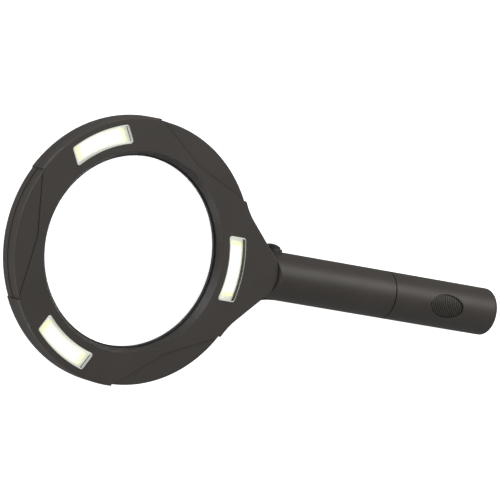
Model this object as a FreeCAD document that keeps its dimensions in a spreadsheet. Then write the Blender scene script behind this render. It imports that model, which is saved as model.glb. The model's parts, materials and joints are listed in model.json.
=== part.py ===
"""Illuminated low vision magnifier: lens head with three lit windows on a round battery handle.

Frame: origin at the centre of the lens ring, on the parting plane of the head.
+X runs along the handle, +Z points out of the lit front face. Millimetres.
"""
import FreeCAD
import Part
import math
import os
import re

os.makedirs("parts", exist_ok=True)
doc = FreeCAD.newDocument("low_vision_magnifier")
Vector = FreeCAD.Vector
Placement = FreeCAD.Placement
Rotation = FreeCAD.Rotation

# ---------------------------------------------------------------- driving dimensions
SIZES = [
    ("ring_radius", 75.0, "outer radius of the head"),
    ("half_depth", 8.0, "parting plane to the front face, and to the back"),
    ("shell_wall", 2.0, "wall of the two mouldings"),
    ("channel_inner", 58.2, "inner radius of the hollow channel in the head"),
    ("front_round", 1.3, "round on the front edge of the ring"),
    ("neck_round", 0.6, "round on the front edge of the neck and tongue"),
    ("parting_line", 0.3, "height of the fine recess along the parting line"),
    ("parting_depth", 0.35, "depth of that recess"),
    ("back_round", 3.5, "round on the back edge of the head"),
    ("leaf_step", 0.5, "depth of the three leaf facets"),
    ("leaf_half_angle", 29.0, "half the sweep of a leaf facet, degrees"),
    ("leaf_kink", 61.05, "radius of the kink of a leaf facet"),
    ("leaf_rim", 73.95, "rim radius of the cover along a leaf facet"),
    ("leaf_back_rim", 74.4, "rim radius of the body along a leaf facet"),
    ("leaf_round", 0.6, "round on the front edge along a leaf facet"),
    ("groove_width", 0.3, "width of the fine groove along a leaf facet"),
    ("groove_depth", 0.2, "depth of that groove below the facet"),
    ("chamfer_outer", 56.2, "radius of the funnel at the front face"),
    ("chamfer_inner", 53.7, "radius at the foot of the funnel, and of the lip under it"),
    ("chamfer_foot", 3.4, "height of the foot of the funnel"),
    ("lens_radius", 55.6, "lens radius"),
    ("lens_edge", 1.2, "edge thickness of the lens"),
    ("lens_crown", 5.0, "height of each lens surface"),
    ("lens_top", 0.0, "top of the lens edge"),
    ("gasket_inner", 53.0, "inner radius of the lens gasket"),
    ("gasket_top", 2.6, "top of the lens gasket, under the lip of the cover"),
    ("seat_inner", 54.4, "inner radius of the lens seat"),
    ("seat_level", 1.45, "lens seat, behind the parting plane"),
    ("seat_foot", 2.0, "underside of the lens seat, behind the parting plane"),
    ("rear_opening", 56.3, "radius of the opening at the back face"),
    ("seat_gap", 0.15, "play round the lens"),
    ("window_inner", 60.2, "inner radius of a light window"),
    ("window_outer", 71.0, "outer radius of a light window"),
    ("window_half", 18.3, "half the straight width of a light window"),
    ("window_corner", 1.5, "corner radius of a light window"),
    ("window_gap", 0.1, "play round a window cover"),
    ("window_wall", 0.5, "wall of a window cover"),
    ("window_plate", 0.8, "thickness of the clear front of a window cover"),
    ("window_sink", 0.15, "window below the front face"),
    ("window_bevel", 0.6, "bevel round a window"),
    ("window_base", 4.4, "underside of a window cover"),
    ("window_flange", 0.8, "reach of a window cover's flange under the front cover"),
    ("strip_height", 0.9, "thickness of a light strip"),
    ("strip_inset", 1.8, "strip inside the long edges of its window"),
    ("strip_end", 3.1, "strip short of the ends of its window"),
    ("board_height", 1.5, "thickness of a light board"),
    ("board_gap", 0.1, "board below the window cover, filled by the strip"),
    ("neck_start", 55.0, "where the neck's finer edge takes over from the ring's"),
    ("neck_reach", 100.1, "where the two neck slopes would meet on the axis"),
    ("neck_sweep", 40.0, "radius from the ring into the neck slope"),
    ("neck_blend", 28.0, "radius from the neck slope into the grip"),
    ("tongue_tip", 14.7, "radius of the tongue's tip"),
    ("tongue_gap", 0.1, "gap between the cover's tongue and the body"),
    ("shoulder_run", 0.9, "round on the edge of the grip where it stands over the tongue"),
    ("shoulder_foot", 9.85, "height at which that round starts"),
    ("grip_radius", 13.75, "outer radius of the handle"),
    ("grip_drop", 3.0, "handle axis behind the parting plane"),
    ("grip_start", 92.0, "where the round handle begins"),
    ("seam", 171.7, "seam between grip and battery barrel"),
    ("seam_gap", 0.7, "width of the seam"),
    ("handle_end", 243.8, "end of the handle"),
    ("end_round", 3.0, "round on the end of the handle"),
    ("bore_radius", 11.65, "bore of the handle"),
    ("bore_start", 98.0, "start of the bore in the grip"),
    ("spigot_radius", 12.6, "outer radius of the grip's spigot"),
    ("spigot_length", 14.0, "length of the spigot"),
    ("fit_gap", 0.1, "radial play of the spigot and the button"),
    ("close_fit", 0.05, "radial play of a pressed-in piece"),
    ("end_wall", 3.5, "thickness of the closed end of the barrel"),
    ("thumb_place", 207.8, "centre of the thumb recess"),
    ("thumb_long", 11.5, "half length of the thumb recess"),
    ("thumb_wide", 6.7, "half width of the thumb recess"),
    ("thumb_heel", 0.3, "depth of the thumb recess at its near end"),
    ("thumb_depth", 1.2, "further fall of the recess to its far end"),
    ("rib_pitch", 1.35, "spacing of the thumb ribs"),
    ("rib_height", 0.4, "height of the thumb ribs"),
    ("button_place", 92.4, "switch button along the handle"),
    ("button_radius", 5.0, "radius of the switch button"),
    ("button_top", 17.7, "top of the button's dome"),
    ("bezel_radius", 6.3, "radius of the switch bezel"),
    ("bezel_top", 15.3, "top of the switch bezel"),
    ("bezel_foot", 10.8, "underside of the switch bezel"),
    ("boss_circle", 66.6, "radius of the circle of screw bosses"),
    ("boss_radius", 3.4, "radius of a screw boss"),
    ("screw_radius", 1.45, "radius of a screw"),
    ("screw_head", 2.6, "radius of a screw head"),
    ("cell_radius", 5.25, "radius of a battery cell"),
    ("cell_length", 44.5, "length of a battery cell"),
    ("cell_circle", 6.15, "distance of the cells from the handle axis"),
    ("carriage_radius", 11.25, "radius of the carriage end plates"),
    ("carriage_start", 185.5, "front of the battery carriage"),
    ("carriage_length", 50.0, "length of the battery carriage"),
    ("plate_height", 1.6, "thickness of the carriage end plates"),
    ("wire_radius", 0.7, "radius of an insulated wire"),
]
ALIASES = {name for name, _, _ in SIZES}

sheet = doc.addObject("Spreadsheet::Sheet", "Sizes")
for row, (name, value, note) in enumerate(SIZES, 1):
    sheet.set("A%d" % row, note)
    sheet.set("B%d" % row, str(value))
    sheet.setAlias("B%d" % row, name)
doc.recompute()

LIGHT_ANGLES = (0, 120, 240)
LEAF_ANGLES = (60, 180, 300)
BOSS_ANGLES = (45, 75, 165, 195, 285, 315)
CELL_ANGLES = (30, 150, 270)
ALONG_X = Rotation(Vector(0, 0, 1), Vector(1, 0, 0))
ALONG_Y = Rotation(Vector(0, 0, 1), Vector(0, 1, 0))
UPRIGHT = Rotation()


# ---------------------------------------------------------------- helpers
def size(name):
    """A driving dimension as a plain number."""
    return float(sheet.get(name))


def formula(text):
    """Turns 'seam + 2' into an expression that reads the sheet."""
    def named(found):
        word = found.group(0)
        return "Sizes." + word if word in ALIASES else word
    return re.sub(r"[a-z]\w+", named, str(text))


def place(item, at, turn=UPRIGHT):
    item.Placement = Placement(Vector(), turn)
    for letter, text in zip("xyz", at):
        item.setExpression("Placement.Base." + letter, formula(text))
    return item


def solid(kind, at, turn, **sizes):
    item = doc.addObject("Part::" + kind, kind)
    for key, text in sizes.items():
        item.setExpression(key, formula(text))
    return place(item, at, turn)


def cylinder(radius, height, at=(0, 0, 0), turn=UPRIGHT, angle=360):
    return solid("Cylinder", at, turn, Radius=radius, Height=height, Angle=angle)


def cone(low, high, height, at, turn=UPRIGHT):
    return solid("Cone", at, turn, Radius1=low, Radius2=high, Height=height)


def sphere(radius, at, turn=UPRIGHT):
    return solid("Sphere", at, turn, Radius=radius)


def block(length, width, height, at, turn=UPRIGHT):
    return solid("Box", at, turn, Length=length, Width=width, Height=height)


def torus(major, minor, at, turn=UPRIGHT):
    return solid("Torus", at, turn, Radius1=major, Radius2=minor)


def union(items):
    if len(items) == 1:
        return items[0]
    joined = doc.addObject("Part::MultiFuse", "Union")
    joined.Shapes = items
    return joined


def minus(base, *tools):
    result = doc.addObject("Part::Cut", "Cut")
    result.Base = base
    result.Tool = union(list(tools))
    return result


def overlap(*items):
    result = doc.addObject("Part::MultiCommon", "Common")
    result.Shapes = list(items)
    return result


def tube(outer, inner, height, at=(0, 0, 0), turn=UPRIGHT):
    return minus(cylinder(outer, height, at, turn), cylinder(inner, height, at, turn))


def prism(name, face, low, high):
    """A face in the XY plane, raised from one height to another."""
    item = doc.addObject("Part::Feature", name)
    moved = face.copy()
    moved.translate(Vector(0, 0, low))
    item.Shape = moved.extrude(Vector(0, 0, high - low))
    return item


def eased(base, kind, amount, wanted):
    """Rounds or bevels the edges that the test picks; kind is Fillet or Chamfer."""
    doc.recompute()
    picked = [i + 1 for i, edge in enumerate(base.Shape.Edges) if wanted(edge)]
    result = doc.addObject("Part::" + kind, kind)
    result.Base = base
    result.Edges = [(number, amount, amount) for number in picked]
    return result


def lies_at(axis, value):
    """Test for an edge that lies wholly in one plane across an axis."""
    def test(edge):
        box = edge.BoundBox
        low, high = getattr(box, axis + "Min"), getattr(box, axis + "Max")
        return abs(low - value) < 1e-3 and abs(high - value) < 1e-3
    return test


def polar(radius, angle):
    """X and Y expressions of a point on a circle round the ring centre."""
    return "(%s) * cos(%s deg)" % (radius, angle), "(%s) * sin(%s deg)" % (radius, angle)


subparts = []


def subpart(label, item):
    item.Label = label
    subparts.append(item)
    return item


# ---------------------------------------------------------------- outlines
def head_outline(inset, into_grip):
    """Ring, neck slopes and either the rounded tongue or the blend into the grip.

    inset moves the whole outline inward. The slope is the 45 degree line x + y = neck_reach.
    """
    ring = size("ring_radius") - inset
    sweep = size("neck_sweep") + inset
    slope = size("neck_reach") - inset * math.sqrt(2)
    across = math.sqrt(0.5)
    # centre of the arc that sweeps from the ring into the slope
    offset = slope * across + sweep
    slide = math.sqrt((ring + sweep) ** 2 - offset ** 2)
    centre = Vector((offset + slide) * across, (offset - slide) * across, 0)
    toward_ring = math.atan2(centre.y, centre.x)
    ring_point = Vector(ring * math.cos(toward_ring), ring * math.sin(toward_ring), 0)
    slope_point = centre - Vector(across, across, 0) * sweep
    halfway = (toward_ring + math.radians(45)) / 2
    sweep_mid = centre - Vector(math.cos(halfway), math.sin(halfway), 0) * sweep
    if into_grip:
        half = size("grip_radius") - inset
        blend = size("neck_blend") + inset
        end_x = slope - half + blend * math.tan(math.radians(22.5))
        blend_centre = Vector(end_x, half + blend, 0)
        start = blend_centre - Vector(across, across, 0) * blend
        eighth = math.radians(22.5)
        middle = blend_centre - Vector(math.sin(eighth), math.cos(eighth), 0) * blend
        finish = Vector(end_x, half, 0)
        upper = [Part.LineSegment(slope_point, start), Part.Arc(start, middle, finish)]
        closing = [Part.LineSegment(finish, flip(finish))]
    else:
        tip = size("tongue_tip") - inset
        tip_centre = Vector(slope - tip / across, 0, 0)
        start = tip_centre + Vector(across, across, 0) * tip
        upper = [Part.LineSegment(slope_point, start)]
        closing = [Part.Arc(start, tip_centre + Vector(tip, 0, 0), flip(start))]
    back = Vector(-ring, 0, 0)
    edges = [Part.Arc(flip(ring_point), back, ring_point), Part.Arc(ring_point, sweep_mid, slope_point)]
    edges += upper + closing
    lower = [Part.Arc(flip(slope_point), flip(sweep_mid), flip(ring_point))]
    for curve in reversed(upper):
        lower.insert(0, mirrored(curve))
    edges += lower
    return Part.Face(Part.Wire(Part.__sortEdges__([curve.toShape() for curve in edges])))


def flip(point):
    return Vector(point.x, -point.y, point.z)


def mirrored(curve):
    """The same line or arc on the other side of the handle axis."""
    edge = curve.toShape()
    first, last = edge.valueAt(edge.FirstParameter), edge.valueAt(edge.LastParameter)
    if isinstance(curve, Part.LineSegment):
        return Part.LineSegment(flip(last), flip(first))
    middle = edge.valueAt((edge.FirstParameter + edge.LastParameter) / 2)
    return Part.Arc(flip(last), flip(middle), flip(first))


def leaf_outline(grow):
    """A leaf facet: two straight sides from the rim that meet at a blunt kink; grow moves them inward."""
    reach = size("ring_radius") + 2
    half = math.radians(size("leaf_half_angle"))
    kink = Vector(size("leaf_kink") - grow, 0, 0)
    rim = Vector(size("ring_radius") * math.cos(half) - grow, size("ring_radius") * math.sin(half), 0)
    beyond = rim + (rim - kink) * 0.2
    outer = Vector(reach + 6, beyond.y, 0)
    points = [kink, beyond, outer, flip(outer), flip(beyond), kink]
    return Part.Face(Part.makePolygon(points))


def window_block(grow, low, height, angle, corner):
    """A curved bar between two radii with parallel ends, turned to its place on the ring."""
    ring = minus(
        cylinder("window_outer + %g" % grow, height, (0, 0, low)),
        cylinder("window_inner - %g" % grow, height, (0, 0, low)))
    width = "2 * (window_half + %g)" % grow
    band = block("window_outer + 5", width, height, (20, "-(window_half + %g)" % grow, low))
    bar = overlap(ring, band)
    rounded = eased(bar, "Fillet", corner, is_upright)
    rounded.Placement = Placement(Vector(), Rotation(Vector(0, 0, 1), angle))
    return rounded


def is_upright(edge):
    box = edge.BoundBox
    return box.XLength < 1e-3 and box.YLength < 1e-3 and box.ZLength > 0.1


# ---------------------------------------------------------------- head
def sector(radius, height, low, angle):
    """Slice of a cylinder as wide as a leaf facet, turned to its place on the ring."""
    slice_ = cylinder(radius, height, (0, 0, low), UPRIGHT, "2 * leaf_half_angle")
    slice_.Placement.Rotation = Rotation(Vector(0, 0, 1), angle - size("leaf_half_angle"))
    return slice_


def leaf_rims():
    """Tools that set the cover's rim back along the three leaf facets."""
    tools = []
    for angle in LEAF_ANGLES:
        whole = sector("ring_radius + 5", "half_depth", 0, angle)
        tools.append(minus(whole, cylinder("leaf_rim", "half_depth")))
    return tools


def leaf_backs():
    """The same for the body, with the round of the back edge carried along."""
    low = (0, 0, "-half_depth")
    tools = []
    for angle in LEAF_ANGLES:
        kept = eased(cylinder("leaf_back_rim", "half_depth", low), "Fillet", size("back_round"),
                     lies_at("Z", -size("half_depth")))
        tools.append(minus(sector("ring_radius + 5", "half_depth", low[2], angle), kept))
    return tools


def leaf_tools(angle):
    """The shallow facet, the fine groove along its inner side and the round of its outer edge."""
    level = size("half_depth") - size("leaf_step")
    groove_low = level - size("groove_depth")
    above = size("half_depth") + 1
    facet = prism("LeafFacet", leaf_outline(0), level, above)
    wide = prism("LeafGrooveOuter", leaf_outline(size("groove_width")), groove_low, above)
    narrow = prism("LeafGrooveInner", leaf_outline(0), groove_low, above)
    turn = Placement(Vector(), Rotation(Vector(0, 0, 1), angle))
    for item in (facet, wide, narrow):
        item.Placement = turn
    round_low = "half_depth - leaf_step - leaf_round"
    edge = minus(
        sector("ring_radius + 2", "leaf_round + leaf_step + 1", round_low, angle),
        cylinder("leaf_rim - leaf_round", "leaf_round + leaf_step + 1", (0, 0, round_low)),
        torus("leaf_rim - leaf_round", "leaf_round", (0, 0, round_low)))
    return [facet, minus(wide, narrow), edge]


def front_cover():
    """Front moulding: flat face, neck tongue, window openings, leaf facets and the funnel."""
    depth = size("half_depth")
    ring = eased(cylinder("ring_radius", "half_depth"), "Fillet", size("front_round"), lies_at("Z", depth))
    neck = prism("CoverNeck", head_outline(0, False), 0, depth)
    neck = eased(neck, "Fillet", size("neck_round"), lies_at("Z", depth))
    neck = overlap(neck, block(100, 200, "half_depth", ("neck_start", -100, 0)))
    recess = prism("PartingOuter", head_outline(-1, False), 0, size("parting_line"))
    kept = prism("PartingInner", head_outline(size("parting_depth"), False), 0, size("parting_line"))
    blank = minus(union([ring, neck]), minus(recess, kept), *leaf_rims())
    hollows = [minus(
        cylinder("ring_radius - shell_wall - 0.2", "half_depth - shell_wall"),
        cylinder("channel_inner", "half_depth - shell_wall"))]
    neck = prism("CoverNeckHollow", head_outline(size("shell_wall"), False), 0, depth - size("shell_wall"))
    hollows.append(minus(neck, cylinder("ring_radius - 5", "half_depth")))
    shell = minus(blank, *hollows)
    bosses = [cylinder("boss_radius", "half_depth - 1", (*polar("boss_circle", a), 0)) for a in BOSS_ANGLES]
    shell = union([shell] + bosses)
    tools = []
    for angle in LEAF_ANGLES:
        tools += leaf_tools(angle)
    for angle in LIGHT_ANGLES:
        tools.append(window_block(0, "half_depth - shell_wall - 0.5", "shell_wall + 2", angle,
                                  size("window_corner")))
    tools.append(cylinder("chamfer_inner", 20, (0, 0, -5)))
    tools.append(cylinder("lens_radius + seat_gap", "gasket_top + 5", (0, 0, -5)))
    tools.append(cone("chamfer_inner", "chamfer_outer", "half_depth - chamfer_foot", (0, 0, "chamfer_foot")))
    tools.append(cylinder("bezel_radius + fit_gap", 9, ("button_place", 8, "-grip_drop"), ALONG_Y))
    for angle in BOSS_ANGLES:
        spot = polar("boss_circle", angle)
        tools.append(cylinder("screw_radius + close_fit", 5, (*spot, 0)))
    return subpart("front_cover", minus(shell, *tools))


def main_body():
    """Back moulding: back of the ring, neck, and the round grip with its spigot, in one piece."""
    depth = size("half_depth")
    axis_z = "-grip_drop"
    slab = prism("BodySlab", head_outline(0, True), -depth, 0)
    slab = eased(slab, "Fillet", size("back_round"),
                 lambda edge: lies_at("Z", -depth)(edge) and edge.BoundBox.XMin < size("grip_start") - 1)
    grip = union([
        cylinder("grip_radius", "seam - grip_start", ("grip_start", 0, axis_z), ALONG_X),
        sphere("grip_radius", ("grip_start", 0, axis_z), ALONG_X),
        cylinder("spigot_radius", "seam + spigot_length - grip_start", ("grip_start", 0, axis_z), ALONG_X)])
    seat = prism("TongueSeat", head_outline(-size("tongue_gap"), False), 0, 30)
    grip = minus(grip, seat, shoulder())
    body = union([slab, grip])
    back_floor = (0, 0, "shell_wall - half_depth")
    neck_start = ("grip_start", 0, axis_z)
    neck_hollow = union([
        sphere("bore_radius - 0.3", neck_start, ALONG_X),
        cylinder("bore_radius - 0.3", "bore_start + 1 - grip_start", neck_start, ALONG_X)])
    tools = leaf_backs() + [
        minus(cylinder("ring_radius - shell_wall - 0.2", "half_depth - shell_wall", back_floor),
              cylinder("channel_inner - 0.7", "half_depth", (0, 0, "-half_depth"))),
        cylinder("seat_inner", 20, (0, 0, "-half_depth")),
        cylinder("lens_radius + seat_gap", 20, (0, 0, "-seat_level")),
        cone("rear_opening", "seat_inner", "half_depth - seat_foot", (0, 0, "-half_depth")),
        block(16, 10, "half_depth - shell_wall - 0.5",
              ("ring_radius - 4", -5, "shell_wall + 0.5 - half_depth")),
        overlap(neck_hollow, block(60, 60, 30, (60, -30, -30))),
        cylinder("bore_radius", 120, ("bore_start", 0, axis_z), ALONG_X),
        cylinder("bezel_radius", 10, ("button_place", 8, axis_z), ALONG_Y)]
    body = minus(body, *tools)
    posts = []
    for angle in BOSS_ANGLES:
        spot = polar("boss_circle", angle)
        posts.append(cylinder("boss_radius", "half_depth - 1", (*spot, "1 - half_depth")))
    for angle in LIGHT_ANGLES:
        for side in (-8, 8):
            spot = polar("boss_circle - 1", angle + side)
            rise = "window_base - board_height - board_gap + half_depth - 1"
            posts.append(cylinder(1.5, rise, (*spot, "1 - half_depth")))
    body = union([body] + posts)
    holes = []
    for angle in BOSS_ANGLES:
        spot = polar("boss_circle", angle)
        holes.append(cylinder("screw_radius + 0.15", 20, (*spot, -15)))
        holes.append(cylinder("screw_head + 0.3", 3.5, (*spot, "-half_depth")))
    return subpart("main_body", minus(body, *holes))


def shoulder():
    """Tool that rounds the edge of the grip, in an arc round the tip of the tongue."""
    fall = "(grip_radius - grip_drop - shoulder_foot)"
    minor = "((shoulder_run ^ 2 + %s ^ 2) / (2 * %s))" % (fall, fall)
    reach = "tongue_tip + tongue_gap + shoulder_run"
    along = "neck_reach - tongue_tip * sqrt(2)"
    above = cylinder(reach, 10, (along, 0, "shoulder_foot"))
    return minus(above, torus(reach, minor, (along, 0, "grip_radius - grip_drop - " + minor)))


def lens_group():
    """Biconvex lens, and the gasket between it and the lip of the cover."""
    crown = "((lens_radius ^ 2 + lens_crown ^ 2) / (2 * lens_crown))"
    low = "lens_top - lens_edge"
    blank = cylinder("lens_radius", "lens_edge + 2 * lens_crown", (0, 0, low + " - lens_crown"))
    front = sphere(crown, (0, 0, "lens_top + lens_crown - " + crown))
    back = sphere(crown, (0, 0, low + " - lens_crown + " + crown))
    lens = subpart("magnifier_lens", overlap(blank, front, back))
    ring = tube("lens_radius", "gasket_inner", "gasket_top - lens_top", (0, 0, "lens_top"))
    subpart("lens_gasket", minus(ring, lens))


def light_group():
    """Three lights, each a clear cover, and behind it a light strip on its board."""
    play = size("window_gap")
    corner = size("window_corner")
    front = size("half_depth") - size("window_sink")
    cover_height = "half_depth - window_sink - window_base"
    flange_height = "half_depth - shell_wall - window_base - close_fit"
    board_low = "window_base - board_gap - board_height"
    for number, angle in enumerate(LIGHT_ANGLES, 1):
        cover = window_block(-play, "window_base", cover_height, angle, corner)
        cover = eased(cover, "Chamfer", size("window_bevel"), lies_at("Z", front))
        flange = window_block(size("window_flange"), "window_base", flange_height, angle, corner)
        hollow = window_block(-play - size("window_wall"), "window_base",
                              cover_height + " - window_plate", angle, 1)
        subpart("led_window_%d" % number, minus(union([cover, flange]), hollow))
        strip = window_block(-size("strip_inset"), "window_base - board_gap", "strip_height", angle,
                             size("strip_height"))
        ends = block("2 * window_outer", "2 * (window_half - strip_end)", 20, (0, 0, 0))
        round_axis = Rotation(Vector(0, 0, 1), angle)
        ends.Placement.Rotation = round_axis
        turned = round_axis.multVec(Vector(0, size("strip_end") - size("window_half"), 0))
        ends.setExpression("Placement.Base.x", "%.6f" % turned.x)
        ends.setExpression("Placement.Base.y", "%.6f" % turned.y)
        subpart("led_strip_%d" % number, overlap(strip, ends))
        subpart("led_board_%d" % number,
                window_block(-0.3, board_low, "board_height", angle, corner))


def head_screws():
    """Six screws from the back that hold the cover to the body."""
    screws = []
    for angle in BOSS_ANGLES:
        spot = polar("boss_circle", angle)
        seat = "3.5 - half_depth"
        head = cylinder("screw_head", 1.9, (*spot, seat + " - 1.9"))
        corner = (spot[0] + " - screw_head - 0.5", spot[1] + " - 0.35", seat + " - 2")
        slot = block("2 * screw_head + 1", 0.7, 0.8, corner)
        shank = cylinder("screw_radius", 9, (*spot, seat))
        screws.append(union([minus(head, slot), shank]))
    group = doc.addObject("Part::Compound", "Screws")
    group.Links = screws
    subpart("head_screws", group)


# ---------------------------------------------------------------- switch
def switch_group():
    """Push button, bezel, push switch with plunger, and the driver board it sits on."""
    axis_z = "-grip_drop"

    def disc(radius, low, high):
        return cylinder(radius, "%s - (%s)" % (high, low), ("button_place", low, axis_z), ALONG_Y)

    ring = minus(disc("bezel_radius - close_fit", "bezel_foot", "bezel_top"),
                 disc("button_radius + fit_gap", "bezel_foot", "bezel_top"))
    subpart("switch_bezel", eased(ring, "Fillet", 0.5, lies_at("Y", size("bezel_top"))))
    stem = disc("button_radius", "bezel_foot - 0.9", "button_top")
    # the dome is a shallow spherical cap 1.5 mm high
    dome = "((button_radius ^ 2 + 1.5 ^ 2) / 3)"
    cap = overlap(stem, sphere(dome, ("button_place", "button_top - " + dome, axis_z), ALONG_Y))
    flange = disc("bezel_radius - 0.4", "bezel_foot - 0.9", "bezel_foot - 0.1")
    subpart("switch_button", union([cap, flange]))
    subpart("switch_plunger", disc(1.6, 6.4, "bezel_foot - 0.95"))
    case = block(5.6, 4.6, 5.6, ("button_place - 2.8", 2.6, "-grip_drop - 2.8"))
    subpart("push_switch", minus(case, disc(1.7, 5, 8)))
    board = block(14.5, 1.6, 10.2, ("button_place - 5.1", 1, "-10.5"))
    subpart("driver_board", board)
    chips = doc.addObject("Part::Compound", "Chips")
    chips.Links = [
        block(4, 2.6, 4, ("button_place - 4.2", -1.6, -9.8)),
        block(3, 1.2, 2.4, ("button_place + 1", -0.2, -5)),
        cylinder(2.2, 3, ("button_place + 6", -2, -7), ALONG_Y)]
    subpart("driver_components", chips)


# ---------------------------------------------------------------- handle
def battery_barrel():
    """Closed sleeve over the batteries, with a ribbed thumb recess for sliding it off."""
    axis_z = "-grip_drop"
    start = "seam + seam_gap"
    outer = cylinder("grip_radius", "handle_end - (%s)" % start, (start, 0, axis_z), ALONG_X)
    outer = eased(outer, "Fillet", size("end_round"), lies_at("X", size("handle_end")))
    outer = minus(
        outer,
        cylinder("bore_radius", "handle_end - end_wall - (%s)" % start, (start, 0, axis_z), ALONG_X),
        cylinder("spigot_radius + fit_gap", "spigot_length + 0.5", (start, 0, axis_z), ALONG_X))
    # the recess follows the barrel's own curve, tipped so that it deepens away from the head
    tip = math.degrees(math.atan2(size("thumb_depth"), 2 * size("thumb_long")))
    tipped = Rotation(Vector(0, 1, 0), tip).multiply(ALONG_X)
    heel = ("thumb_place - thumb_long", 0, axis_z)
    opening = oval(0)
    floor = cylinder("grip_radius - thumb_heel", "2 * thumb_long + 2", heel, tipped)
    recess = minus(opening, floor)
    ribs = []
    count = int(2 * size("thumb_long") / size("rib_pitch")) - 1
    for number in range(1, count + 1):
        along = number * size("rib_pitch")
        heel_point = Vector(size("thumb_place") - size("thumb_long"), 0, -size("grip_drop"))
        base = heel_point + tipped.multVec(Vector(0, 0, along))
        rib = doc.addObject("Part::Cylinder", "Rib")
        rib.setExpression("Radius", formula("grip_radius - thumb_heel + rib_height"))
        rib.setExpression("Height", formula("rib_pitch / 2"))
        rib.Placement = Placement(base, tipped)
        ribs.append(rib)
    solid_ribs = overlap(minus(union(ribs), floor), oval(0.5))
    before = ("thumb_place - 2 * thumb_long", 0, axis_z)
    outside = cylinder("grip_radius", "4 * thumb_long", before, ALONG_X)
    subpart("battery_barrel", union([minus(outer, recess), overlap(solid_ribs, outside)]))


def oval(inset):
    """Upright oval bar over the thumb recess."""
    bar = doc.addObject("Part::Feature", "Oval")
    centre = Vector(size("thumb_place"), 0, 0)
    ellipse = Part.Ellipse(centre, size("thumb_long") - inset, size("thumb_wide") - inset)
    face = Part.Face(Part.Wire(ellipse.toShape()))
    bar.Shape = face.extrude(Vector(0, 0, size("grip_radius")))
    return bar


def battery_group():
    """Carriage with three cells, its contacts, the spring behind it and the contact head in the grip."""
    axis_z = "-grip_drop"
    end = "carriage_start + carriage_length"
    plates = [
        cylinder("carriage_radius", "plate_height", ("carriage_start", 0, axis_z), ALONG_X),
        cylinder("carriage_radius", "plate_height", (end + " - plate_height", 0, axis_z), ALONG_X)]
    full = cylinder("carriage_radius", "carriage_length", ("carriage_start", 0, axis_z), ALONG_X)
    for angle in (90, 210, 330):
        strut = block("carriage_length", 3.2, 4, ("carriage_start", 0, 0))
        turn = Rotation(Vector(1, 0, 0), angle - 90)
        strut.Placement.Rotation = turn
        corner = turn.multVec(Vector(0, -1.6, size("carriage_radius") - 2.1))
        strut.setExpression("Placement.Base.y", "%.6f" % corner.y)
        strut.setExpression("Placement.Base.z", formula("%.6f - grip_drop" % corner.z))
        plates.append(overlap(strut, full))
    subpart("battery_carriage", union(plates))
    cell_start = "carriage_start + (carriage_length - cell_length) / 2"
    contacts = []
    for number, angle in enumerate(CELL_ANGLES, 1):
        spot = ("cell_circle * cos(%d deg)" % angle, "cell_circle * sin(%d deg) - grip_drop" % angle)
        can = cylinder("cell_radius", "cell_length - 1", (cell_start, *spot), ALONG_X)
        can = eased(can, "Fillet", 0.4, lambda edge: edge.BoundBox.XLength < 1e-3)
        nub = cylinder(1.9, 1.2, (cell_start + " + cell_length - 1.2", *spot), ALONG_X)
        subpart("battery_cell_%d" % number, union([can, nub]))
        contacts.append(cylinder(3.6, 0.5, ("carriage_start + plate_height", *spot), ALONG_X))
        contacts.append(cone(3, 1.8, 0.6, ("carriage_start + plate_height + 0.5", *spot), ALONG_X))
        contacts.append(cylinder(3.6, 0.5, (end + " - plate_height - 0.5", *spot), ALONG_X))
    group = doc.addObject("Part::Compound", "Contacts")
    group.Links = contacts + [
        cylinder(2.4, 0.4, ("carriage_start - 0.4", 0, axis_z), ALONG_X),
        tube(7.6, 6.2, 0.4, ("carriage_start - 0.4", 0, axis_z), ALONG_X)]
    subpart("carriage_contacts", group)
    coils = []
    for turn in range(5):
        along = end + " + %g" % (0.5 + 0.95 * turn)
        coils.append(torus(3.2 + 0.9 * turn, 0.4, (along, 0, axis_z), ALONG_X))
    spring = doc.addObject("Part::Compound", "Coils")
    spring.Links = coils
    subpart("barrel_spring", spring)
    disc_low = "carriage_start - 3.6"
    subpart("contact_disc", cylinder("bore_radius - close_fit", 1.6, (disc_low, 0, axis_z), ALONG_X))
    pins = doc.addObject("Part::Compound", "Pins")
    pins.Links = [
        cylinder(1.3, 1.5, (disc_low + " + 1.6", 0, axis_z), ALONG_X),
        cylinder(1.0, 1.5, (disc_low + " + 1.6", 6.9, axis_z), ALONG_X)]
    subpart("contact_pins", pins)


def wire_loom():
    """Insulated wires: a loop round the head, leads to the driver board and on to the contact head."""
    loop_radius = "ring_radius - shell_wall - 1.3"
    wires = [torus(loop_radius, "wire_radius", (0, 0, -4.6))]
    for side in (-1.2, 1.2):
        wires.append(cylinder("wire_radius", "button_place - 5.3 - (%s + 1)" % loop_radius,
                              (loop_radius + " + 1", side + 1.2, -3.8), ALONG_X))
        wires.append(cylinder("wire_radius", "carriage_start - 3.8 - (button_place + 9.6)",
                              ("button_place + 9.6", side, "-grip_drop - 5"), ALONG_X))
    group = doc.addObject("Part::Compound", "Wires")
    group.Links = wires
    subpart("wire_loom", group)


front_cover()
main_body()
lens_group()
light_group()
head_screws()
switch_group()
battery_barrel()
battery_group()
wire_loom()
doc.recompute()

# ---------------------------------------------------------------- checks and files
for item in doc.Objects:
    if "Invalid" in item.State or "Error" in item.State:
        raise RuntimeError("failed object: %s %s" % (item.Label, item.State))
for item in subparts:
    shape = item.Shape
    if shape.isNull() or not shape.isValid() or not shape.Solids:
        raise RuntimeError("bad shape: " + item.Label)
    shape.exportStep("parts/%s.step" % item.Label)
    print("%-20s %2d solid(s) %10.1f mm3" % (item.Label, len(shape.Solids), shape.Volume))
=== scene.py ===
import json
import math

import bpy
from mathutils import Matrix, Vector


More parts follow.
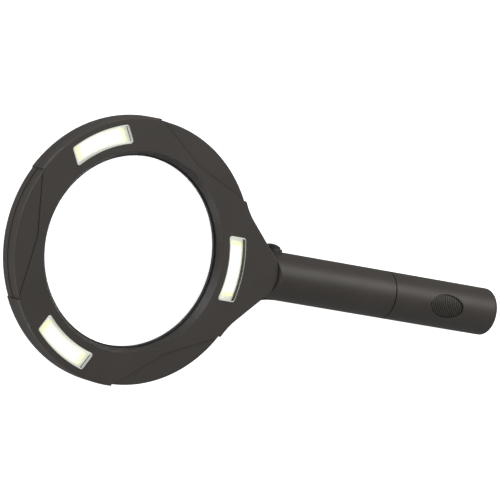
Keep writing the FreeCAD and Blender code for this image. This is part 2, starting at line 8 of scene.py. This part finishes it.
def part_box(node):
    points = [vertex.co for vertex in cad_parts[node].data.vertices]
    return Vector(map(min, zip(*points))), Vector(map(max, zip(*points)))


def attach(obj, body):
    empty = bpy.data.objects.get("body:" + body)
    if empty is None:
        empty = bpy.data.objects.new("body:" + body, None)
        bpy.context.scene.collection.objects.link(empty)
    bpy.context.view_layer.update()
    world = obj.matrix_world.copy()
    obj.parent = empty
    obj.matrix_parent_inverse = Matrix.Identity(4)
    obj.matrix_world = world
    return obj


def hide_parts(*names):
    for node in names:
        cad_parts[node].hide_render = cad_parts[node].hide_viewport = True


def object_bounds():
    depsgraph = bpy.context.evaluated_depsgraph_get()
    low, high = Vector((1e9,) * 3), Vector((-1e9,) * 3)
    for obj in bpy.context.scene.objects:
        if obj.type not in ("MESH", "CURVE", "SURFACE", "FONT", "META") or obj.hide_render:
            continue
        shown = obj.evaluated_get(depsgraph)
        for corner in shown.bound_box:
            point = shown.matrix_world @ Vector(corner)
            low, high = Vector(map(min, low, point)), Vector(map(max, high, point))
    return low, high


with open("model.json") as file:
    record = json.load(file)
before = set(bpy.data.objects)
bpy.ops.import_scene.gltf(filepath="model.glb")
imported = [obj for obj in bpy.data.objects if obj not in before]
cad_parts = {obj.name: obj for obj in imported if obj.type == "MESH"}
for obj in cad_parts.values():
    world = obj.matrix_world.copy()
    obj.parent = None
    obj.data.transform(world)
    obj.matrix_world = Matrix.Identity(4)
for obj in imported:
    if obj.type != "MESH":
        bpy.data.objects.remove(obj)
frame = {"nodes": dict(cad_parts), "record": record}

cad_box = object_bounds()
MM = 0.001
WHITE = (1.0, 1.0, 1.0)

# ---------------------------------------------------------------- view, stage and light
VIEW_FORWARD = Vector((0.5119, -0.0266, -0.8586))
VIEW_UP = Vector((-0.1488, 0.9816, -0.1192))
VIEW_AIM = Vector((0.0769, 0.0120, 0.0))
VIEW_DISTANCE = 2.247
FOCAL_MM = 288.0
SENSOR_MM = 36.0
CLIP_NEAR = 0.05
CLIP_FAR = 20.0

FLOOR_DROP = 0.4 * MM
FLOOR_HALF = 12.0
FLOOR_COLOUR = (0.82, 0.82, 0.82)
FLOOR_ROUGHNESS = 0.9
FLOOR_GLOSS = 0.1
FLOOR_GLOW = 1.0
BACKDROP_GLOW = 0.285

# Name, where it shines from, distance, width, height, power and colour.
LIGHTS = [
    ("key", (0.51, 0.53, 0.68), 1.3, 0.9, 0.25, 7.5, (1.0, 0.965, 0.925)),
    ("upper_left", (-0.88, 0.46, 0.16), 1.3, 0.6, 0.5, 8.5, WHITE),
    ("low_left", (-0.60, -0.78, 0.06), 1.4, 0.8, 0.5, 9.0, WHITE),
]

# ---------------------------------------------------------------- places on the object
# Distances from the lens axis.
LIP_RADIUS = 53.9 * MM
FUNNEL_RADIUS = 56.3 * MM
WINDOW_INNER = 61.6 * MM
WINDOW_MIDDLE = 69.8 * MM
STRIP_INNER = 62.0 * MM
STRIP_OUTER = 69.2 * MM

STRIP_HALF = 15.2 * MM
STRIP_END_FADE = 3.4 * MM
STRIP_SIDE_FADE = 0.9 * MM
STRIP_THIRD = math.pi / 3

# Heights over the parting plane.
WINDOW_FOOT_TOP = 5.55 * MM
EDGE_LOW = 6.3 * MM

# Distances along the handle from the lens axis, and the round end of the cover's tongue.
NECK_START = 66.0 * MM
NECK_LIMIT = 88.0 * MM
TONGUE_CENTRE = 79.3 * MM
TONGUE_RADIUS = 14.75 * MM

# How far a surface faces +Z or -Z: less than UPRIGHT is a wall, more than FLAT lies flat.
UPRIGHT = 0.3
FLAT = 0.93
BEVEL_STOPS = (UPRIGHT, 0.4, 0.9, 0.97)

# ---------------------------------------------------------------- tones
HOUSING = (0.052, 0.0460, 0.0408)
# Painted shade: shares of the housing tone on the lip and the funnel inside the lens opening.
LIP_PAINTED_SHADE = 0.12
FUNNEL_PAINTED_SHADE = 0.8
# Painted highlight on the cover's front edges, stronger beside the switch.
EDGE_PAINTED_HIGHLIGHT = 0.35
NECK_PAINTED_HIGHLIGHT = 1.8
HOUSING_GLOSS = 0.45

SWITCH_STOPS = (0.25, 0.75)
DOME_SHARE = (0.10, 0.10, 0.10)

BLACK = (0.0, 0.0, 0.0)
CLEAR = (0.97, 0.98, 0.95)
# Painted shade: dark tone of the tray's upright walls.
WALL_PAINTED_SHADE = (0.030, 0.030, 0.020)
# Painted highlight on the window bevel: a pale tone and a glow.
PALE_BEVEL_HIGHLIGHT = (0.50, 0.51, 0.48)
BEVEL_HIGHLIGHT_GLOW = (0.52, 0.53, 0.48)
# Painted light from the strip, as a glow on the tray's inner walls.
WALL_PAINTED_GLOW = (0.50, 0.51, 0.48)
ACRYLIC_IOR = 1.49
WINDOW_IOR = 1.3

STRIP_LIGHT = (1.0, 1.0, 0.98)
STRIP_GLOW = 1.0
BOARD_LIGHT = (0.92, 0.94, 0.88)
BOARD_GLOW = 0.5

MOTTLE_STOPS = (0.35, 0.65)


# ---------------------------------------------------------------- stage
def look_matrix(place, toward, up):
    """Matrix of a camera or lamp at a place, looking along a direction."""
    back = -toward.normalized()
    side = up.cross(back).normalized()
    above = back.cross(side)
    turn = Matrix((side, above, back)).transposed().to_4x4()
    return Matrix.Translation(place) @ turn


def make_camera():
    data = bpy.data.cameras.new("camera")
    data.lens = FOCAL_MM
    data.sensor_width = SENSOR_MM
    data.clip_start = CLIP_NEAR
    data.clip_end = CLIP_FAR
    camera = bpy.data.objects.new("camera", data)
    bpy.context.scene.collection.objects.link(camera)
    place = VIEW_AIM - VIEW_FORWARD.normalized() * VIEW_DISTANCE
    camera.matrix_world = look_matrix(place, VIEW_FORWARD, VIEW_UP)
    bpy.context.scene.camera = camera


def make_light(name, direction, distance, width, height, power, colour):
    """A rectangular soft light that looks at the middle of the object."""
    data = bpy.data.lights.new(name, "AREA")
    data.shape = "RECTANGLE"
    data.size = width
    data.size_y = height
    data.energy = power
    data.color = colour
    light = bpy.data.objects.new(name, data)
    bpy.context.scene.collection.objects.link(light)
    away = Vector(direction).normalized()
    up = Vector((0.0, 0.0, 1.0)).cross(away)
    light.matrix_world = look_matrix(VIEW_AIM + away * distance, -away, up)


def make_stage():
    """White floor under the handle that glows to the camera and doesn't light the object."""
    low = cad_box[0].z - FLOOR_DROP
    mesh = bpy.data.meshes.new("floor")
    signs = ((-1, -1), (1, -1), (1, 1), (-1, 1))
    corners = [(x * FLOOR_HALF, y * FLOOR_HALF, low) for x, y in signs]
    mesh.from_pydata(corners, [], [(0, 1, 2, 3)])
    floor = bpy.data.objects.new("floor", mesh)
    bpy.context.scene.collection.objects.link(floor)
    floor.visible_diffuse = False
    floor.visible_glossy = False
    look = Look("floor", FLOOR_COLOUR, FLOOR_ROUGHNESS)
    look.glow(FLOOR_GLOW, WHITE)
    look.set("Specular IOR Level", FLOOR_GLOSS)
    mesh.materials.append(look.material)


def make_world():
    world = bpy.data.worlds.new("world")
    bpy.context.scene.world = world
    world.use_nodes = True
    backdrop = world.node_tree.nodes["Background"]
    backdrop.inputs["Color"].default_value = (*WHITE, 1.0)
    backdrop.inputs["Strength"].default_value = BACKDROP_GLOW


# ---------------------------------------------------------------- materials
class Look:
    """A Principled material with a few procedural layers over object coordinates, in metres."""

    def __init__(self, name, colour, roughness):
        self.material = bpy.data.materials.new(name)
        self.material.use_nodes = True
        self.tree = self.material.node_tree
        self.shader = self.tree.nodes["Principled BSDF"]
        self.set("Base Color", (*colour, 1.0))
        self.set("Roughness", roughness)
        place = self.add("ShaderNodeTexCoord")
        self.coordinates = place.outputs["Object"]
        self.x, self.y, self.z = self.split(self.coordinates)
        facing = self.split(place.outputs["Normal"])
        self.facing_y = facing[1]
        self.facing_z = self.sums("ABSOLUTE", facing[2])

    def add(self, kind, **settings):
        node = self.tree.nodes.new(kind)
        for key, value in settings.items():
            setattr(node, key, value)
        return node

    def join(self, source, target):
        self.tree.links.new(source, target)

    def feed(self, source, target):
        """Gives an input a socket, or a plain number or triple."""
        if isinstance(source, (int, float, tuple)):
            target.default_value = source
        else:
            self.join(source, target)

    def set(self, socket, value):
        self.shader.inputs[socket].default_value = value

    def drive(self, socket, source):
        """Lets a source that changes over the surface set one of the shader's sockets."""
        self.join(source, self.shader.inputs[socket])

    def split(self, source):
        node = self.add("ShaderNodeSeparateXYZ")
        self.join(source, node.inputs["Vector"])
        return [node.outputs[axis] for axis in "XYZ"]

    def sums(self, operation, *sources):
        """One arithmetic step on sockets or plain numbers."""
        node = self.add("ShaderNodeMath", operation=operation)
        for number, source in enumerate(sources):
            self.feed(source, node.inputs[number])
        return node.outputs[0]

    def over(self, source, limit):
        return self.sums("GREATER_THAN", source, limit)

    def under(self, source, limit):
        return self.sums("LESS_THAN", source, limit)

    def both(self, *sources):
        """Product of shares from 0 to 1."""
        product = sources[0]
        for source in sources[1:]:
            product = self.sums("MULTIPLY", product, source)
        return product

    def vectors(self, operation, first, second):
        """One step on colours; SCALE takes a number as its second source."""
        node = self.add("ShaderNodeVectorMath", operation=operation)
        self.feed(first, node.inputs[0])
        self.feed(second, node.inputs["Scale" if operation == "SCALE" else 1])
        return node.outputs["Vector"]

    def distance(self, *sides):
        """Length of the line whose sides are given."""
        squares = [self.sums("MULTIPLY", side, side) for side in sides]
        return self.sums("SQRT", self.sums("ADD", *squares))

    def radius(self):
        """Distance from the lens axis."""
        return self.distance(self.x, self.y)

    def noise(self, scale, detail=3.0):
        """Noise with 'scale' features a metre."""
        texture = self.add("ShaderNodeTexNoise")
        texture.inputs["Scale"].default_value = scale
        texture.inputs["Detail"].default_value = detail
        self.join(self.coordinates, texture.inputs["Vector"])
        return texture.outputs["Fac"]

    def ramp(self, source, places, colours):
        """Colour ramp with one colour at each place."""
        node = self.add("ShaderNodeValToRGB")
        elements = node.color_ramp.elements
        for number, (place, colour) in enumerate(zip(places, colours)):
            element = elements[number] if number < 2 else elements.new(place)
            element.position = place
            element.color = (*colour, 1.0)
        self.join(source, node.inputs["Fac"])
        return node.outputs["Color"]

    def mottled(self, dark, light, scale):
        return self.ramp(self.noise(scale), MOTTLE_STOPS, (dark, light))

    def mottle(self, dark, light, scale):
        self.drive("Base Color", self.mottled(dark, light, scale))

    def patchy_gloss(self, low, high, scale):
        """Roughness that wanders between two values."""
        spread = self.add("ShaderNodeMapRange")
        spread.inputs["To Min"].default_value = low
        spread.inputs["To Max"].default_value = high
        self.join(self.noise(scale), spread.inputs["Value"])
        self.drive("Roughness", spread.outputs["Result"])

    def grain(self, scale, depth):
        """Fine moulded relief; depth is in metres."""
        bump = self.add("ShaderNodeBump")
        bump.inputs["Distance"].default_value = depth
        bump.inputs["Strength"].default_value = 1.0
        self.join(self.noise(scale, 2.0), bump.inputs["Height"])
        self.drive("Normal", bump.outputs["Normal"])

    def glow(self, strength, colour):
        """Emission; colour is a triple, or a socket where it changes over the surface."""
        if isinstance(colour, tuple):
            self.set("Emission Color", (*colour, 1.0))
        else:
            self.drive("Emission Color", colour)
        self.set("Emission Strength", strength)


def tint(colour, factor):
    return tuple(channel * factor for channel in colour)


def soft_touch(name):
    """Soft-touch housing.

    Painted shade darkens the lip and the funnel inside the lens opening, and a painted highlight
    makes the cover's front edges paler, most of all beside the switch.
    """
    look = Look(name, HOUSING, 0.5)
    base = look.mottled(tint(HOUSING, 0.94), tint(HOUSING, 1.06), 55.0)
    # Painted shade: the lip and the funnel inside the lens opening are darkened.
    radius = look.radius()
    past_lip = look.over(radius, LIP_RADIUS)
    past_funnel = look.over(radius, FUNNEL_RADIUS)
    share = look.sums("MULTIPLY_ADD", past_lip, FUNNEL_PAINTED_SHADE - LIP_PAINTED_SHADE, LIP_PAINTED_SHADE)
    share = look.sums("MULTIPLY_ADD", past_funnel, 1.0 - FUNNEL_PAINTED_SHADE, share)

    # Painted highlight: the cover's sloping front edges are made paler, most of all beside the
    # switch.
    sloping = look.both(look.over(look.facing_z, UPRIGHT), look.under(look.facing_z, FLAT))
    from_tongue = look.distance(look.sums("SUBTRACT", look.x, TONGUE_CENTRE), look.y)
    on_cover = look.sums("MAXIMUM", look.under(look.x, NECK_LIMIT),
                         look.under(from_tongue, TONGUE_RADIUS))
    in_front = look.both(on_cover, look.over(look.z, EDGE_LOW))
    on_edge = look.both(sloping, in_front, past_funnel)
    beside_switch = look.both(look.over(look.x, NECK_START), look.over(look.y, 0.0))
    painted_edge_highlight = look.sums("MULTIPLY_ADD", beside_switch, NECK_PAINTED_HIGHLIGHT, EDGE_PAINTED_HIGHLIGHT)
    share = look.sums("MULTIPLY_ADD", on_edge, painted_edge_highlight, share)

    look.drive("Base Color", look.vectors("SCALE", base, share))
    look.set("Specular IOR Level", HOUSING_GLOSS)
    look.patchy_gloss(0.46, 0.54, 90.0)
    look.grain(2600.0, 0.02 * MM)
    return look.material


def clear_plastic(name, tone, roughness):
    look = Look(name, tone, roughness)
    look.mottle(tint(tone, 0.99), tone, 25.0)
    look.patchy_gloss(roughness, roughness + 0.02, 40.0)
    look.set("Transmission Weight", 1.0)
    look.set("IOR", ACRYLIC_IOR)
    return look.material


def window_cover(name):
    """Clear plate with a pale bevel that carries a painted highlight.

    The walls under it glow with painted light from the strip, but for their foot and the outer long
    wall, which get painted shade. The foot of the wall nearest the lens glows too.
    """
    look = Look(name, CLEAR, 0.02)
    look.patchy_gloss(0.02, 0.05, 200.0)
    # Upright walls get a dark tone of painted shade, the bevel a pale tone of painted highlight.
    tones = (WALL_PAINTED_SHADE, PALE_BEVEL_HIGHLIGHT, PALE_BEVEL_HIGHLIGHT, CLEAR)
    look.drive("Base Color", look.ramp(look.facing_z, BEVEL_STOPS, tones))
    look.drive("Transmission Weight", look.over(look.facing_z, FLAT))
    look.set("IOR", WINDOW_IOR)
    # Painted highlight: the bevel glows pale.
    lights = (BLACK, BEVEL_HIGHLIGHT_GLOW, BEVEL_HIGHLIGHT_GLOW, BLACK)
    bevel_highlight = look.ramp(look.facing_z, BEVEL_STOPS, lights)
    # Painted light: the inner walls glow above their foot, and near the lens down to it.
    radius = look.radius()
    inner_side = look.under(radius, WINDOW_MIDDLE)
    lit_height = look.sums("MAXIMUM", look.over(look.z, WINDOW_FOOT_TOP),
                           look.under(radius, WINDOW_INNER))
    lit = look.both(inner_side, lit_height, look.under(look.facing_z, UPRIGHT))
    wall = look.vectors("SCALE", WALL_PAINTED_GLOW, lit)
    look.glow(1.0, look.vectors("ADD", bevel_highlight, wall))
    return look.material


def light_strip(name):
    """Lit phosphor gel: white along the middle, yellow-green at its ends and paler at its sides.

    The three strips sit 120 degrees apart, so the angle is folded into one third of the ring.
    """
    look = Look(name, (0.9, 0.88, 0.7), 0.4)
    look.mottle((0.86, 0.84, 0.62), (0.94, 0.93, 0.78), 900.0)
    turn = look.sums("ARCTAN2", look.y, look.x)
    angle = look.sums("WRAP", turn, STRIP_THIRD, -STRIP_THIRD)
    radius = look.radius()
    along = look.sums("ABSOLUTE", look.sums("MULTIPLY", radius, look.sums("SINE", angle)))
    end_gap = look.sums("SUBTRACT", STRIP_HALF, along)
    side_gap = look.sums("MINIMUM", look.sums("SUBTRACT", STRIP_OUTER, radius),
                         look.sums("SUBTRACT", radius, STRIP_INNER))
    ends = look.ramp(look.sums("DIVIDE", end_gap, STRIP_END_FADE), (0.0, 0.3, 1.0),
                     ((0.68, 0.70, 0.28), (0.86, 0.87, 0.42), STRIP_LIGHT))
    sides = look.ramp(look.sums("DIVIDE", side_gap, STRIP_SIDE_FADE), (0.0, 0.5, 1.0),
                      ((0.74, 0.76, 0.62), (0.92, 0.93, 0.84), STRIP_LIGHT))
    look.glow(STRIP_GLOW, look.vectors("MULTIPLY", ends, sides))
    look.grain(1500.0, 0.05 * MM)
    return look.material


def light_board(name):
    """White board that glows with the light of the strip on it."""
    look = Look(name, (0.78, 0.78, 0.75), 0.35)
    look.mottle((0.72, 0.72, 0.69), (0.82, 0.82, 0.79), 500.0)
    look.patchy_gloss(0.3, 0.4, 300.0)
    look.grain(900.0, 0.02 * MM)
    look.glow(BOARD_GLOW, BOARD_LIGHT)
    return look.material


def plain_moulded(name, colour, roughness):
    look = Look(name, colour, roughness)
    look.mottle(tint(colour, 0.9), tint(colour, 1.1), 80.0)
    look.patchy_gloss(roughness - 0.05, roughness + 0.05, 120.0)
    look.grain(2200.0, 0.015 * MM)
    return look.material


def switch_black(name):
    """Satin black, deeper on the dome that faces out of the neck than on the sides."""
    look = Look(name, (0.03, 0.028, 0.025), 0.38)
    base = look.mottled((0.046, 0.042, 0.037), (0.054, 0.050, 0.044), 80.0)
    share = look.ramp(look.facing_y, SWITCH_STOPS, (WHITE, DOME_SHARE))
    look.drive("Base Color", look.vectors("MULTIPLY", base, share))
    look.patchy_gloss(0.36, 0.44, 120.0)
    look.grain(2200.0, 0.015 * MM)
    return look.material


def metal(name, colour, roughness):
    look = Look(name, colour, roughness)
    look.mottle(tint(colour, 0.9), tint(colour, 1.05), 300.0)
    look.patchy_gloss(roughness - 0.06, roughness + 0.08, 400.0)
    look.grain(1800.0, 0.006 * MM)
    look.set("Metallic", 1.0)
    return look.material


def circuit_board(name):
    look = Look(name, (0.02, 0.14, 0.06), 0.3)
    look.mottle((0.012, 0.10, 0.045), (0.03, 0.18, 0.08), 420.0)
    look.patchy_gloss(0.25, 0.4, 300.0)
    look.grain(900.0, 0.02 * MM)
    return look.material


def wires(name):
    """Red on one side of the handle axis and black on the other."""
    look = Look(name, (0.3, 0.03, 0.03), 0.45)
    side = look.over(look.y, 0.0)
    colours = ((0.02, 0.02, 0.02), (0.42, 0.03, 0.03))
    look.drive("Base Color", look.ramp(side, (0.0, 1.0), colours))
    look.patchy_gloss(0.4, 0.55, 200.0)
    look.grain(700.0, 0.02 * MM)
    return look.material


# Each slot's maker and what it takes after the name, such as a colour and a roughness.
MATERIALS = {
    "housing": (soft_touch,),
    "barrel_housing": (soft_touch,),
    "lens": (clear_plastic, (0.985, 0.99, 0.988), 0.0),
    "gasket": (plain_moulded, (0.02, 0.02, 0.02), 0.6),
    "clear_tray": (window_cover,),
    "light_strip": (light_strip,),
    "light_board": (light_board,),
    "screws": (metal, (0.42, 0.42, 0.43), 0.35),
    "switch_black": (switch_black,),
    "switch_plunger": (plain_moulded, (0.7, 0.69, 0.63), 0.4),
    "switch_case": (plain_moulded, (0.02, 0.02, 0.022), 0.45),
    "circuit_board": (circuit_board,),
    "components": (plain_moulded, (0.02, 0.02, 0.022), 0.4),
    "carriage_black": (plain_moulded, (0.015, 0.015, 0.015), 0.45),
    "cell_can": (metal, (0.33, 0.36, 0.40), 0.3),
    "contacts": (metal, (0.66, 0.62, 0.52), 0.28),
    "spring_steel": (metal, (0.6, 0.6, 0.6), 0.25),
    "wires": (wires,),
}


def dress_nodes():
    """Gives each CAD node the material of its slot."""
    made = {}
    for part in frame["record"]["subparts"]:
        slot = part["material_slot"]
        if slot not in made:
            maker, *settings = MATERIALS[slot]
            made[slot] = maker(slot, *settings)
        node = frame["nodes"][part["node"]]
        node.data.materials.clear()
        node.data.materials.append(made[slot])
    return made


# ---------------------------------------------------------------- pieces
SPRING_WIRE = 0.4 * MM
SPRING_TURNS = 5
SPRING_STEPS = 24
SPRING_SMALL = 3.2 * MM


def barrel_spring(material):
    """Conical wire spring at the closed end of the barrel."""
    low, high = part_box("barrel_spring")
    axis_y = (low.y + high.y) / 2
    axis_z = (low.z + high.z) / 2
    large = (high.y - low.y) / 2 - SPRING_WIRE
    curve = bpy.data.curves.new("spring_coil", "CURVE")
    curve.dimensions = "3D"
    curve.bevel_depth = SPRING_WIRE
    curve.bevel_resolution = 4
    spline = curve.splines.new("NURBS")
    spans = SPRING_TURNS * SPRING_STEPS - 1
    spline.points.add(spans)
    for number, point in enumerate(spline.points):
        share = number / spans
        radius = SPRING_SMALL + (large - SPRING_SMALL) * share
        angle = 2 * math.pi * SPRING_TURNS * share
        along = low.x + SPRING_WIRE + (high.x - low.x - 2 * SPRING_WIRE) * share
        point.co = (along, axis_y + radius * math.cos(angle), axis_z + radius * math.sin(angle), 1.0)
    spline.order_u = 3
    spline.use_endpoint_u = True
    curve.materials.append(material)
    coil = bpy.data.objects.new("spring_coil", curve)
    bpy.context.scene.collection.objects.link(coil)
    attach(coil, "battery_barrel")
    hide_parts("barrel_spring")


bpy.context.scene.view_settings.view_transform = "Standard"
make_camera()
make_stage()
make_world()
for light in LIGHTS:
    make_light(*light)
finishes = dress_nodes()
barrel_spring(finishes["spring_steel"])
